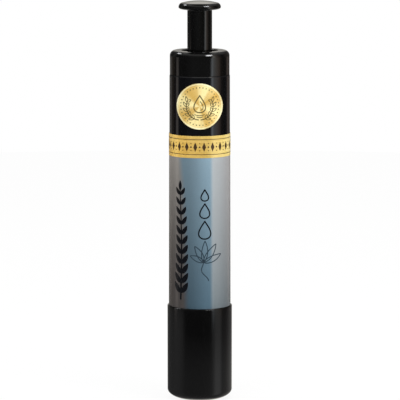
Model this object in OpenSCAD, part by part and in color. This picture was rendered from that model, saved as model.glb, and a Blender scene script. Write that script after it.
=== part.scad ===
// Nail oil pen: a spring-returned pump pen with a pull-off cap, a brush nose and a thumb plunger.
// Lengths are in millimetres. The pen stands on its cap, its axis is Z and its round seal faces -Y.
// Heights stack up from the cap's floor, and radii step out and in from the barrel's rear end.

/* [Barrel] */
// Outside diameter of the barrel at its rear end
barrel_d = 17.7; // [15.5:0.02:20]
// How much the barrel's radius grows from rear to front
barrel_draft = 0.2; // [0:0.02:0.4]
// Wall of the barrel at its rear end
shell_wall = 1.05; // [0.8:0.05:1.4]
// Wall of the inner cartridge along the reservoir
cartridge_wall = 0.8; // [0.6:0.05:1.2]
// Length of oil under the follower when the pen is full
reservoir_l = 38.5; // [25:0.5:50]

/* [Neck and cap] */
// Length of the neck that the cap slides over
neck_l = 10.9; // [9:0.1:14]
// How far the neck stands out past the cartridge
neck_step = 0.45; // [0.3:0.05:0.8]
// Height of the friction bead on the neck
bead_h = 0.24; // [0.15:0.01:0.4]
// Wall of the cap's skirt
cap_wall = 1.1; // [0.9:0.05:1.6]
// Thickness of the cap's closed end
cap_floor = 1.6; // [1.2:0.1:2.4]
// Width of the cap's rounded end, across the pen
cap_corner_w = 6.3; // [4:0.1:7]
// Height of the cap's rounded end, along the pen
cap_corner_h = 2.95; // [2:0.05:4]
// Diameter of the flat that the pen stands on
base_flat_d = 11.2; // [8:0.1:13]
// Wall of the liner cup inside the cap
liner_wall = 0.8; // [0.6:0.05:1]

/* [Rear collar] */
// Height of the rear collar above its seam with the barrel
collar_h = 7.1; // [6:0.1:10]
// How far the collar's spigot reaches down inside the barrel
spigot_l = 6; // [4:0.1:8]
// Width of the collar's rounded shoulder
shoulder_w = 1.45; // [0.6:0.05:1.6]
// Height of the collar's rounded shoulder
shoulder_h = 1.6; // [0.8:0.05:2.2]
// Diameter of the well around the stem, as a share of the barrel's
well_share = 0.6; // [0.55:0.005:0.65]
// Depth of the well around the stem
well_depth = 2; // [1:0.1:3]

/* [Plunger] */
// Travel of the plunger
stroke = 10.5; // [8:0.1:13]
// Diameter of the stem, as a share of the barrel's
stem_share = 0.41; // [0.38:0.005:0.43]
// Diameter of the thumb head, as a share of the barrel's
head_share = 0.7; // [0.62:0.005:0.8]
// Height of the thumb head from its underside to its widest line
head_under_h = 0.65; // [0.5:0.05:1.2]
// Height of the thumb head's rounded edge above its widest line
head_edge_h = 1.35; // [0.8:0.05:2]
// Length of the guide bush
bush_l = 6.8; // [5:0.1:9]

/* [Spring] */
// Diameter of the spring wire
wire_d = 0.7; // [0.5:0.05:0.8]
// Mean diameter of the spring, as a share of the barrel's
spring_share = 0.56; // [0.54:0.005:0.58]
// Number of coils
spring_coils = 8; // [6:1:9]
// Length left for the spring with the plunger pressed home
spring_min_l = 7.4; // [7.2:0.1:10]

/* [Pump] */
// Bore of the pump chamber
chamber_d = 4.5; // [4:0.05:5]
// Wall of the pump column
column_wall = 0.85; // [0.6:0.05:1.1]
// Length of the pump piston
piston_l = 5; // [4:0.1:7]
// Diameter of the push rod
rod_d = 3; // [2.4:0.05:3.2]
// Diameter of the inlet ball
ball_d = 1.9; // [1.6:0.05:2.1]
// Lift of the inlet ball from its floor to its seat
ball_lift = 0.5; // [0.3:0.05:0.8]
// Length of the follower piston
follower_l = 6.5; // [5:0.1:9]
// Thickness of the bulkhead that carries the spring
bulkhead_t = 3; // [2:0.1:4]

/* [Nose and brush] */
// Depth of the nozzle's plug inside the neck
plug_l = 4; // [3.6:0.1:6]
// Thickness of the nozzle's flange
flange_t = 1.4; // [1:0.1:2]
// Length of the nozzle's cone
cone_l = 3.8; // [3:0.1:5]
// Diameter of the brush ferrule
ferrule_d = 4.6; // [4.2:0.05:5]
// Length of ferrule that shows below the nozzle
ferrule_show = 3.2; // [2.4:0.1:5]
// Length of brush that shows below the ferrule
tuft_l = 5.2; // [4:0.1:8]
// Room between the brush's tip and the liner's floor
tip_room = 1; // [0.6:0.1:2]

/* [Label, band and seal] */
// Thickness of the printed sleeve
label_t = 0.08; // [0.05:0.01:0.15]
// Thickness of the gold band
band_t = 0.12; // [0.05:0.01:0.2]
// Height of the gold band
band_w = 6.4; // [4:0.1:9]
// Distance from the collar's seam down to the gold band
band_drop = 17.2; // [16:0.1:19]
// Diameter of the round seal, seen from the front
seal_d = 13.4; // [11:0.1:14]
// Thickness of the round seal
seal_t = 0.12; // [0.05:0.01:0.2]
// Distance from the collar's seam down to the middle of the seal
seal_drop = 8.55; // [8:0.05:8.8]

/* [Hidden] */
$fn = 96;

// Steps in each rounded stretch of an outline
round_steps = 14;
// Room that every cut runs past the face it starts from
overrun = 0.5;

// Gap between flat faces of pieces that move apart
face_gap = 0.05;
// Gap between pieces pressed or glued together
seat_gap = 0.01;
// Radial gap between the cartridge and the barrel
slip_gap = 0.1;
// Radial gap of the sliding fits
slide_fit = 0.05;
// Radial gap between loose pieces that pass each other
pass_gap = 0.25;

// Heights of the nose, from the ground up
liner_floor = liner_wall;
tip_z = cap_floor + liner_floor + tip_room;
tuft_z = tip_z + tuft_l;
nozzle_z = tuft_z + ferrule_show;
flange_z = nozzle_z + cone_l;
neck_z = flange_z + flange_t;
rim_z = neck_z + neck_l;
shell_z = rim_z + face_gap;

// Radii from the barrel's rear end, outward to the cap and inward to the reservoir
rear_r = barrel_d / 2;
front_r = rear_r + barrel_draft;
shell_bore_r = rear_r - shell_wall;
cartridge_r = shell_bore_r - slip_gap;
neck_r = cartridge_r + neck_step;
bead_r = neck_r + bead_h;
cap_bore_r = bead_r + slide_fit;
cap_r = cap_bore_r + cap_wall;
reservoir_r = cartridge_r - cartridge_wall;
// Step at each end of the reservoir, which the pump body and the bulkhead seat on
seat_step = 0.2;
seat_r = reservoir_r + seat_step;

// Pump body: floor, ball pocket and valve seat stack up to the reservoir's floor
chamber_r = chamber_d / 2;
column_r = chamber_r + column_wall;
ball_r = ball_d / 2;
pocket_r = ball_r + pass_gap;
pocket_x = (column_r + seat_r) / 2;
inlet_hole_r = 0.6;
inlet_seat_t = 1.2;
pump_floor_t = 1.4;
port_r = 0.45;
base_z = neck_z + plug_l;
chamber_z = base_z + pump_floor_t;
ball_z = chamber_z + face_gap + ball_r;
ball_top_h = sqrt(pow(ball_r, 2) - pow(inlet_hole_r, 2));
inlet_seat_z = ball_z + ball_lift + ball_top_h + face_gap;
reservoir_z = inlet_seat_z + inlet_seat_t;
port_z = chamber_z + port_r + face_gap;
piston_low_z = port_z + port_r + face_gap;
piston_z = piston_low_z + stroke;
// Length of column above the piston before the guide tube's spigot starts
column_room = 2;
socket_l = 3;
socket_z = piston_z + piston_l + column_room;
column_top_z = socket_z + socket_l;
socket_wall = 0.4;
socket_r = column_r - socket_wall;
tube_bore_r = rod_d / 2 + 2 * pass_gap;
outlet_hole_r = 0.7;

// Reservoir, follower, bulkhead and spring, up to the rear collar
follower_z = reservoir_z + reservoir_l;
follower_room = 0.5;
bulkhead_z = follower_z + follower_l + follower_room;
spring_floor_z = bulkhead_z + bulkhead_t;
spring_l = spring_min_l + stroke;
spring_z = spring_floor_z + face_gap;
stop_z = spring_z + spring_l + face_gap;
stop_t = 2;
bush_z = stop_z + stop_t + face_gap;
well_z = bush_z + bush_l;
collar_top_z = well_z + well_depth;
seam_z = collar_top_z - collar_h;
spigot_z = seam_z - spigot_l;
cartridge_top_z = spigot_z - slip_gap;
boss_h = 2;
// The wire is drawn with six sides and eight rings a coil, so its chords cut in a little
wire_r = wire_d / 2;
wire_sides = 6;
coil_rings = 8;
coil_r = spring_share * rear_r;
boss_r = (coil_r - wire_r) * cos(180 / coil_rings) - pass_gap;

// Plunger: stem that passes the bush, with the head that it leaves above the collar
stem_r = stem_share * rear_r;
bush_bore_r = stem_r + slide_fit;
bush_wall_share = 0.274;
bush_r = bush_bore_r + bush_wall_share * rear_r;
press_room = 1.4;
head_z = collar_top_z + press_room + stroke;
head_wide_z = head_z + head_under_h;
head_r = head_share * rear_r;
stem_tail = 1;
stem_end_z = stop_z - stem_tail;
stem_wall = 1.35;
stem_bore_r = stem_r - stem_wall;
stem_roof = 2.2;
stop_groove = 0.5;
stop_r = bush_r - pass_gap;

// Barrel's radius at a height
function barrel_r(z) = rear_r + barrel_draft * (seam_z - z) / (seam_z - shell_z);

// Points of an elliptical arc about a centre, from one angle to another
function arc(centre, radii, from, to) = [
    for (i = [0 : round_steps])
        let (a = from + (to - from) * i / round_steps)
        centre + [radii[0] * cos(a), radii[1] * sin(a)]
];

// Outline turned about the pen's axis
module turned(outline) {
    rotate_extrude() polygon(outline);
}

// Round hole along the pen's axis, between two heights
module bore(radius, from, to) {
    translate([0, 0, from]) cylinder(r = radius, h = to - from);
}

// O-ring with a round section that fills the space between two radii
module o_ring(inner, outer, z) {
    translate([0, 0, z]) rotate_extrude() translate([(inner + outer) / 2, 0])
        circle(r = (outer - inner) / 2);
}

/* Cap */
cap_mid_r = cap_r - cap_corner_w;
cap_start_angle = asin(max(0, base_flat_d / 2 - cap_mid_r) / cap_corner_w);
cap_corner_z = cap_corner_h * cos(cap_start_angle);
rim_round = 0.2;
mouth_chamfer = 0.3;
hollow_corner_w = 4.6;
hollow_corner_h = 2.2;

// Outline of the hollow's rounded floor, from the axis to the wall
function hollow_floor(radius, floor_z, wall) = concat(
    [[0, floor_z]],
    arc([radius - hollow_corner_w + wall, floor_z + hollow_corner_h - wall],
        [hollow_corner_w - wall, hollow_corner_h - wall], -90, 0)
);

// Skirt, rounded rim and the flat-bottomed elliptical end that the pen stands on
module cap_shell() {
    color([0.03, 0.03, 0.035]) difference() {
        turned(concat(
            [[0, 0]],
            arc([cap_mid_r, cap_corner_z], [cap_corner_w, cap_corner_h], cap_start_angle - 90, 0),
            arc([cap_r - rim_round, rim_z - rim_round], [rim_round, rim_round], 0, 90),
            [[0, rim_z]]
        ));
        turned(concat(
            hollow_floor(cap_bore_r, cap_floor, 0),
            [
                [cap_bore_r, rim_z - mouth_chamfer],
                [cap_bore_r + mouth_chamfer, rim_z],
                [cap_bore_r + mouth_chamfer, rim_z + overrun],
                [0, rim_z + overrun]
            ]
        ));
    }
}

liner_r = cap_bore_r - seat_gap;
liner_bore_r = liner_r - liner_wall;
liner_z = cap_floor + seat_gap;
liner_top_z = flange_z - 2 * face_gap;

// Cup pressed into the cap's end, whose lip closes on the nozzle's flange
module cap_liner() {
    color([0.86, 0.87, 0.88]) difference() {
        turned(concat(
            hollow_floor(liner_r, liner_z, 0),
            [[liner_r, liner_top_z], [0, liner_top_z]]
        ));
        turned(concat(
            hollow_floor(liner_bore_r, liner_z + liner_floor, liner_wall),
            [[liner_bore_r, liner_top_z + overrun], [0, liner_top_z + overrun]]
        ));
    }
}

/* Barrel */
rear_edge_w = 0.15;
rear_edge_h = 0.25;

// Outer tube with a slight draft and a steep chamfer at its rear edge, where the collar meets it
module barrel_shell() {
    color([0.03, 0.035, 0.05]) difference() {
        turned([
            [0, shell_z],
            [front_r, shell_z],
            [barrel_r(seam_z - rear_edge_h), seam_z - rear_edge_h],
            [rear_r - rear_edge_w, seam_z],
            [0, seam_z]
        ]);
        bore(shell_bore_r, shell_z - overrun, seam_z + overrun);
    }
}

bead_w = 1.2;
bead_z = neck_z + bead_w;
ring_d = 0.75;
ring_z = rim_z - bead_w - ring_d;
ring_groove_r = bead_r - ring_d;

// Reservoir tube and neck in one moulding: a bead and a ring groove hold the cap
module inner_cartridge() {
    color([0.9, 0.9, 0.88]) difference() {
        turned(concat(
            [[0, neck_z], [neck_r, neck_z]],
            arc([neck_r, bead_z + bead_w / 2], [bead_h, bead_w / 2], -90, 90),
            [
                [neck_r, shell_z - seat_gap],
                [cartridge_r, shell_z - seat_gap],
                [cartridge_r, cartridge_top_z],
                [0, cartridge_top_z]
            ]
        ));
        bore(seat_r, neck_z - overrun, reservoir_z);
        bore(reservoir_r, reservoir_z - overrun, bulkhead_z + overrun);
        bore(seat_r, bulkhead_z, cartridge_top_z + overrun);
        turned([
            [ring_groove_r, ring_z - ring_d / 2 - seat_gap],
            [neck_r + overrun, ring_z - ring_d / 2 - seat_gap],
            [neck_r + overrun, ring_z + ring_d / 2 + seat_gap],
            [ring_groove_r, ring_z + ring_d / 2 + seat_gap]
        ]);
    }
}

// Rubber ring in the neck's groove
module neck_ring() {
    color([0.08, 0.08, 0.08]) o_ring(ring_groove_r + seat_gap, bead_r, ring_z);
}

/* Label, band and seal */
band_top_z = seam_z - band_drop;
band_z = band_top_z - band_w;
seal_z = seam_z - seal_drop;

// Thin layer that wraps the barrel's draft between two heights
module wrap(from, to, thickness) {
    turned([
        [barrel_r(from), from],
        [barrel_r(from) + thickness, from],
        [barrel_r(to) + thickness, to],
        [barrel_r(to), to]
    ]);
}

// Printed sleeve from the cap's rim up to the gold band
module wrap_label() {
    color([0.42, 0.51, 0.58]) wrap(shell_z + face_gap, band_z, label_t);
}

// Foil band around the barrel
module gold_band() {
    color([0.89, 0.7, 0.36]) wrap(band_z, band_top_z, band_t);
}

// Foil disc bent round the barrel's front, cut so that it looks round from the front
module seal_disc() {
    color([0.9, 0.72, 0.4]) intersection() {
        wrap(seal_z - seal_d, seal_z + seal_drop, seal_t);
        translate([0, 0, seal_z]) rotate([90, 0, 0]) cylinder(r = seal_d / 2, h = front_r + overrun);
    }
}

/* Rear collar and plunger */
collar_step = 0.1;
collar_r = rear_r - collar_step;
collar_edge = 0.1;
spigot_r = shell_bore_r - seat_gap;
spigot_chamfer = 0.4;
well_r = well_share * rear_r;
well_round = 0.25;

// Collar with a rounded shoulder, a well round the stem and a spigot inside the barrel
module rear_collar() {
    color([0.03, 0.03, 0.035]) difference() {
        turned(concat(
            [
                [0, spigot_z],
                [spigot_r - spigot_chamfer, spigot_z],
                [spigot_r, spigot_z + spigot_chamfer],
                [spigot_r, seam_z + seat_gap],
                [collar_r - collar_edge, seam_z + seat_gap],
                [collar_r, seam_z + collar_edge + seat_gap]
            ],
            arc([collar_r - shoulder_w, collar_top_z - shoulder_h], [shoulder_w, shoulder_h], 0, 90),
            arc([well_r + well_round, collar_top_z - well_round], [well_round, well_round], 90, 180),
            [[0, collar_top_z - well_round]]
        ));
        bore(bush_r + seat_gap, spigot_z - overrun, well_z);
        bore(well_r, well_z - overrun, collar_top_z + overrun);
    }
}

bush_land = 1.6;
bush_relief = 0.3;

// Bush that guides the stem on two lands and closes the floor of the well
module guide_bush() {
    color([0.1, 0.1, 0.11]) difference() {
        bore(bush_r, bush_z, well_z - seat_gap);
        bore(bush_bore_r, bush_z - overrun, well_z + overrun);
        bore(bush_bore_r + bush_relief, bush_z + bush_land, well_z - bush_land);
    }
}

head_edge_w = 1.25;
head_under_w = 1.3;
head_slope = 0.24;
head_start_angle = 90 - atan(head_slope * head_edge_w / head_edge_h);
head_edge = arc([head_r - head_edge_w, head_wide_z], [head_edge_w, head_edge_h], 0, head_start_angle);
crown_edge = head_edge[round_steps];
head_top_z = crown_edge[1] + head_slope * crown_edge[0] / 2;
neck_fillet = 0.35;

// Height of the thumb head's shallow crown at a radius
function crown_z(radius) = head_top_z - (head_top_z - crown_edge[1]) * pow(radius / crown_edge[0], 2);

// Thumb head and hollow stem in one moulding, grooved near its lower end for the stop ring
module plunger() {
    color([0.03, 0.03, 0.035]) difference() {
        turned(concat(
            [
                [0, stem_end_z],
                [stem_r - stop_groove, stem_end_z],
                [stem_r, stem_end_z + stop_groove],
                [stem_r, stop_z - seat_gap],
                [stem_r - stop_groove, stop_z - seat_gap],
                [stem_r - stop_groove, stop_z + stop_t],
                [stem_r, stop_z + stop_t]
            ],
            arc([stem_r + neck_fillet, head_z - neck_fillet], [neck_fillet, neck_fillet], 180, 90),
            arc([head_r - head_under_w, head_wide_z], [head_under_w, head_under_h], -90, 0),
            head_edge,
            [for (i = [1 : round_steps])
                let (radius = crown_edge[0] * (1 - i / round_steps)) [radius, crown_z(radius)]]
        ));
        bore(stem_bore_r, stem_end_z - overrun, head_z - stem_roof);
    }
}

clip_gap = 1.4;

// Split ring that snaps into the stem's groove and stops the plunger under the bush
module stop_ring() {
    color([0.82, 0.82, 0.8]) difference() {
        bore(stop_r, stop_z, stop_z + stop_t - seat_gap);
        bore(stem_r - stop_groove + seat_gap, stop_z - overrun, stop_z + stop_t + overrun);
        translate([-clip_gap / 2, 0, stop_z - overrun])
            cube([clip_gap, stop_r + overrun, stop_t + 2 * overrun]);
    }
}

/* Spring */
spring_rings = spring_coils * coil_rings;
spring_pitch = (spring_l - wire_d) / spring_coils;

// Point at a ring along the helix, so far outside the wire's middle line and so far above it
function helix_point(ring, outside, above) =
    let (turn = 360 * ring / coil_rings)
    [
        (coil_r + outside) * cos(turn),
        (coil_r + outside) * sin(turn),
        spring_z + wire_r + spring_pitch * ring / coil_rings + above
    ];

// Point of the wire's surface at a ring along the helix and a side around the wire
function wire_point(ring, side) =
    let (around = 360 * side / wire_sides)
    helix_point(ring, wire_r * cos(around), wire_r * sin(around));

// Faces of one stretch of wire between two rings
function wire_faces(ring) = [
    for (side = [0 : wire_sides - 1])
        let (next = (side + 1) % wire_sides)
        let (low = ring * wire_sides)
        let (high = low + wire_sides)
        each [[low + side, high + next, high + side], [low + side, low + next, high + next]]
];

// Compression spring between the bulkhead and the stop ring: one unbroken wire
module return_spring() {
    last = spring_rings * wire_sides;
    color([0.72, 0.73, 0.75]) polyhedron(
        points = [for (ring = [0 : spring_rings]) for (side = [0 : wire_sides - 1]) wire_point(ring, side)],
        faces = concat(
            [for (ring = [0 : spring_rings - 1]) each wire_faces(ring)],
            [for (side = [1 : wire_sides - 2]) [0, side + 1, side]],
            [for (side = [1 : wire_sides - 2]) [last, last + side, last + side + 1]]
        ),
        convexity = 10
    );
}
// Least gap between the wire's middle points that lie half a coil or more apart, less the wire
echo(least_gap_between_coils = min([
    for (low = [0 : spring_rings - coil_rings / 2])
        for (high = [low + coil_rings / 2 : spring_rings])
            norm(helix_point(high, 0, 0) - helix_point(low, 0, 0))
]) - wire_d);

vent_r = 0.5;
vent_count = 3;
vent_x = (boss_r + seat_r) / 2;

// Bulkhead on the cartridge's rear step: seats the spring, carries the guide tube and lets air in
module spring_bulkhead() {
    color([0.84, 0.84, 0.82]) difference() {
        union() {
            bore(seat_r - seat_gap, bulkhead_z + seat_gap, spring_floor_z);
            bore(boss_r, bulkhead_z + seat_gap, spring_floor_z + boss_h);
        }
        bore(column_r + seat_gap, bulkhead_z - overrun, spring_floor_z + boss_h + overrun);
        for (i = [0 : vent_count - 1])
            rotate([0, 0, 360 * i / vent_count]) translate([vent_x, 0, bulkhead_z - overrun])
                cylinder(r = vent_r, h = bulkhead_t + 2 * overrun);
    }
}

/* Pump */
rod_r = rod_d / 2;
rod_head_l = 6;
piston_web = 2.4;
rod_foot_z = piston_z + piston_web;

// Rod that carries the thumb's push down the guide tube to the pump piston
module push_rod() {
    color([0.88, 0.88, 0.86]) union() {
        bore(rod_r, rod_foot_z + seat_gap, stem_end_z + rod_head_l);
        bore(stem_bore_r - seat_gap, stem_end_z, stem_end_z + rod_head_l);
    }
}

// Dry tube round the push rod, plugged into the pump column and held by the bulkhead
module guide_tube() {
    color([0.9, 0.9, 0.88]) difference() {
        union() {
            bore(socket_r - seat_gap, socket_z + seat_gap, column_top_z + seat_gap + overrun);
            bore(column_r, column_top_z + seat_gap, spring_floor_z + boss_h);
        }
        bore(tube_bore_r, socket_z - overrun, spring_floor_z + boss_h + overrun);
    }
}

follower_web = 1.6;
follower_lip = 1.2;
follower_relief = 0.5;
follower_r = reservoir_r - slide_fit;
follower_bore_r = column_r + slide_fit;
follower_outer_wall = 1.5;
follower_inner_wall = 1.3;
follower_top_z = follower_z + follower_l;
follower_low_z = follower_z + follower_lip;
follower_high_z = follower_top_z - follower_lip;

// Ring-shaped follower with two wiping lips inside and out, hollow from behind
module follower_piston() {
    color([0.8, 0.82, 0.84]) difference() {
        bore(follower_r, follower_z, follower_top_z);
        bore(follower_bore_r, follower_z - overrun, follower_top_z + overrun);
        bore(follower_bore_r + follower_relief, follower_low_z, follower_high_z);
        difference() {
            bore(follower_r + overrun, follower_low_z, follower_high_z);
            bore(follower_r - follower_relief, follower_z, follower_top_z);
        }
        difference() {
            bore(follower_r - follower_outer_wall, follower_z + follower_web, follower_top_z + overrun);
            bore(follower_bore_r + follower_inner_wall, follower_z, follower_top_z + 2 * overrun);
        }
    }
}

// Pump base and column in one moulding: ball pocket beside the chamber, outlet in its floor
module pump_body() {
    color([0.92, 0.92, 0.9]) difference() {
        union() {
            bore(seat_r - seat_gap, base_z + seat_gap, reservoir_z - seat_gap);
            bore(column_r, base_z + seat_gap, column_top_z);
        }
        bore(outlet_hole_r, base_z - overrun, chamber_z + overrun);
        bore(chamber_r, chamber_z, column_top_z + overrun);
        bore(socket_r, socket_z, column_top_z + overrun);
        translate([pocket_x, 0, 0]) bore(pocket_r, chamber_z, reservoir_z + overrun);
        translate([0, 0, port_z]) rotate([0, 90, 0]) cylinder(r = port_r, h = pocket_x);
    }
}

piston_fit = 0.04;
piston_r = chamber_r - piston_fit;
piston_lip = 1;
piston_waist = 0.25;
piston_dish_r = 1.5;
piston_dish = 0.4;

// Pump piston with a wiping lip at each end and a dished face, pushed onto the rod
module pump_piston() {
    color([0.75, 0.78, 0.82]) difference() {
        turned([
            [0, piston_z],
            [piston_r, piston_z],
            [piston_r, piston_z + piston_lip],
            [piston_r - piston_waist, piston_z + piston_lip + piston_waist],
            [piston_r - piston_waist, piston_z + piston_l - piston_lip - piston_waist],
            [piston_r, piston_z + piston_l - piston_lip],
            [piston_r, piston_z + piston_l],
            [0, piston_z + piston_l]
        ]);
        bore(rod_r + seat_gap, rod_foot_z, piston_z + piston_l + overrun);
        translate([0, 0, piston_z - overrun])
            cylinder(r1 = piston_dish_r + overrun, r2 = 0, h = overrun + piston_dish);
    }
}

// Steel check ball that closes upwards against its seat when the plunger is pressed
module inlet_ball() {
    color([0.75, 0.76, 0.78]) translate([pocket_x, 0, ball_z]) sphere(r = ball_r);
}

inlet_chamfer = 0.3;

// Seat pressed into the ball pocket, with the hole that oil enters by
module inlet_seat() {
    color([0.78, 0.8, 0.8]) translate([pocket_x, 0, 0]) difference() {
        bore(pocket_r - seat_gap, inlet_seat_z, reservoir_z - seat_gap);
        bore(inlet_hole_r, inlet_seat_z - overrun, reservoir_z + overrun);
        translate([0, 0, reservoir_z - seat_gap - inlet_chamfer]) cylinder(
            r1 = inlet_hole_r,
            r2 = inlet_hole_r + inlet_chamfer + overrun,
            h = inlet_chamfer + overrun
        );
    }
}

valve_flange_r = 2.5;
valve_flange_t = 0.8;
valve_bill_r = 1.5;
valve_bill_l = 1.9;
valve_wall = 0.4;
valve_tip_r = 0.55;
valve_slit = 0.12;
valve_z = base_z - valve_flange_t;
bill_z = valve_z - valve_bill_l;

// Duckbill outlet valve: a rubber flange with a slit bill that points down the nozzle
module outlet_valve() {
    color([0.85, 0.5, 0.35]) difference() {
        union() {
            bore(valve_flange_r, valve_z, base_z);
            translate([0, 0, bill_z]) cylinder(r1 = valve_tip_r, r2 = valve_bill_r, h = valve_bill_l);
        }
        translate([0, 0, bill_z + valve_wall])
            cylinder(r1 = 0, r2 = valve_bill_r - valve_wall, h = valve_bill_l - valve_wall);
        bore(valve_bill_r - valve_wall, valve_z - seat_gap, base_z + overrun);
        translate([-valve_tip_r - overrun, -valve_slit / 2, bill_z - overrun])
            cube([2 * (valve_tip_r + overrun), valve_slit, overrun + 2 * valve_wall]);
    }
}

/* Nose */
flange_r = neck_r - slip_gap;
cone_wide_r = 5.6;
cone_tip_r = 3.2;
cone_break = 0.3;
ferrule_r = ferrule_d / 2;
ferrule_socket = 2.4;
feed_r = 0.65;
feed_bore_r = 0.4;
bill_room = 0.2;
seal_ring_d = 1.4;
seal_ring_z = neck_z + plug_l / 2;
core_wall = 0.9;
core_rib_t = 0.8;
core_rib_count = 6;
core_z = flange_z + core_wall;
core_in_r = valve_flange_r + core_wall;
core_out_r = seat_r - seal_ring_d - core_wall;

// Nozzle: plug in the neck, flange for the cap's liner, and a cone that holds ferrule and feed tube
module nozzle_housing() {
    color([0.05, 0.05, 0.055]) difference() {
        turned([
            [0, nozzle_z],
            [cone_tip_r - cone_break, nozzle_z],
            [cone_tip_r, nozzle_z + cone_break],
            [cone_wide_r, flange_z],
            [flange_r, flange_z],
            [flange_r, neck_z - seat_gap],
            [seat_r - seat_gap, neck_z - seat_gap],
            [seat_r - seat_gap, base_z],
            [0, base_z]
        ]);
        bore(ferrule_r + seat_gap, nozzle_z - overrun, nozzle_z + ferrule_socket);
        bore(feed_r + seat_gap, nozzle_z, base_z);
        bore(valve_bill_r + bill_room, bill_z - bill_room, base_z + overrun);
        bore(valve_flange_r + seat_gap, valve_z - seat_gap, base_z + overrun);
        difference() {
            bore(core_out_r, core_z, base_z + overrun);
            bore(core_in_r, core_z - overrun, base_z + 2 * overrun);
            for (i = [0 : core_rib_count - 1])
                rotate([0, 0, 360 * i / core_rib_count]) translate([0, -core_rib_t / 2, core_z - overrun])
                    cube([core_out_r + overrun, core_rib_t, base_z - core_z + 3 * overrun]);
        }
        turned([
            [seat_r - seal_ring_d, seal_ring_z - seal_ring_d / 2 - seat_gap],
            [seat_r + overrun, seal_ring_z - seal_ring_d / 2 - seat_gap],
            [seat_r + overrun, seal_ring_z + seal_ring_d / 2 + seat_gap],
            [seat_r - seal_ring_d, seal_ring_z + seal_ring_d / 2 + seat_gap]
        ]);
    }
}

// Rubber ring that seals the nozzle's plug in the neck
module nozzle_seal() {
    color([0.1, 0.1, 0.1]) o_ring(seat_r - seal_ring_d + seat_gap, seat_r - seat_gap, seal_ring_z);
}

feed_dip = 1.6;

// Fine tube that brings oil from the valve into the middle of the brush
module feed_tube() {
    color([0.8, 0.81, 0.83]) difference() {
        bore(feed_r, tuft_z - feed_dip, bill_z - bill_room - seat_gap);
        bore(feed_bore_r, tuft_z - feed_dip - overrun, bill_z);
    }
}

ferrule_wall = 0.35;
ferrule_groove = 0.12;
ferrule_roll_shares = [0.3, 0.375, 0.45];

// Metal ferrule rolled tight around the bristles, with one crimp groove
module brush_ferrule() {
    top_z = nozzle_z + ferrule_socket - seat_gap;
    color([0.78, 0.78, 0.8]) difference() {
        turned([
            [0, tuft_z],
            [ferrule_r, tuft_z],
            [ferrule_r, tuft_z + ferrule_roll_shares[0] * ferrule_show],
            [ferrule_r - ferrule_groove, tuft_z + ferrule_roll_shares[1] * ferrule_show],
            [ferrule_r, tuft_z + ferrule_roll_shares[2] * ferrule_show],
            [ferrule_r, top_z],
            [0, top_z]
        ]);
        bore(ferrule_r - ferrule_wall, tuft_z - overrun, top_z + overrun);
    }
}

tuft_root = 2.4;
// Radius of the tuft along its length, as shares of its root radius, from the ferrule to the tip
tuft_radius_shares = [1, 1.08, 1.04, 0.86, 0.58, 0.26, 0];
tuft_height_shares = [0, 0.25, 0.45, 0.68, 0.86, 0.97, 1];

// Body of the brush: bristles packed in the ferrule, full below it and drawn to a point
module brush_tuft() {
    root_r = ferrule_r - ferrule_wall - seat_gap;
    color([0.12, 0.1, 0.09]) difference() {
        turned(concat(
            [[0, tuft_z + tuft_root], [root_r, tuft_z + tuft_root]],
            [for (i = [0 : len(tuft_radius_shares) - 1])
                [root_r * tuft_radius_shares[i], tuft_z - tuft_l * tuft_height_shares[i]]]
        ));
        bore(feed_r + seat_gap, tuft_z - feed_dip - seat_gap, tuft_z + tuft_root + overrun);
    }
}

cap_shell();
cap_liner();
barrel_shell();
inner_cartridge();
wrap_label();
gold_band();
seal_disc();
rear_collar();
guide_bush();
plunger();
stop_ring();
return_spring();
spring_bulkhead();
push_rod();
guide_tube();
follower_piston();
pump_body();
pump_piston();
inlet_ball();
inlet_seat();
outlet_valve();
nozzle_housing();
nozzle_seal();
neck_ring();
feed_tube();
brush_ferrule();
brush_tuft();
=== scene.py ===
# %% [markdown]
# # Nail oil pen
#
# This lesson dresses a nail oil pen in Blender. The pen stands on its cap: the cap is at the bottom, then
# comes the long barrel with a printed sleeve, a gold band and a round gold seal, and on top a collar with
# the thumb plunger. Inside are a spring, a small pump, a reservoir with its follower, and a brush.
#
# The engineering model already fixes every shape and place, so it is loaded as a frame that is never moved.
# Blender's work is the look: finishes, printed ornament, the bristles, the wound spring and the studio.

import math

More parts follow.
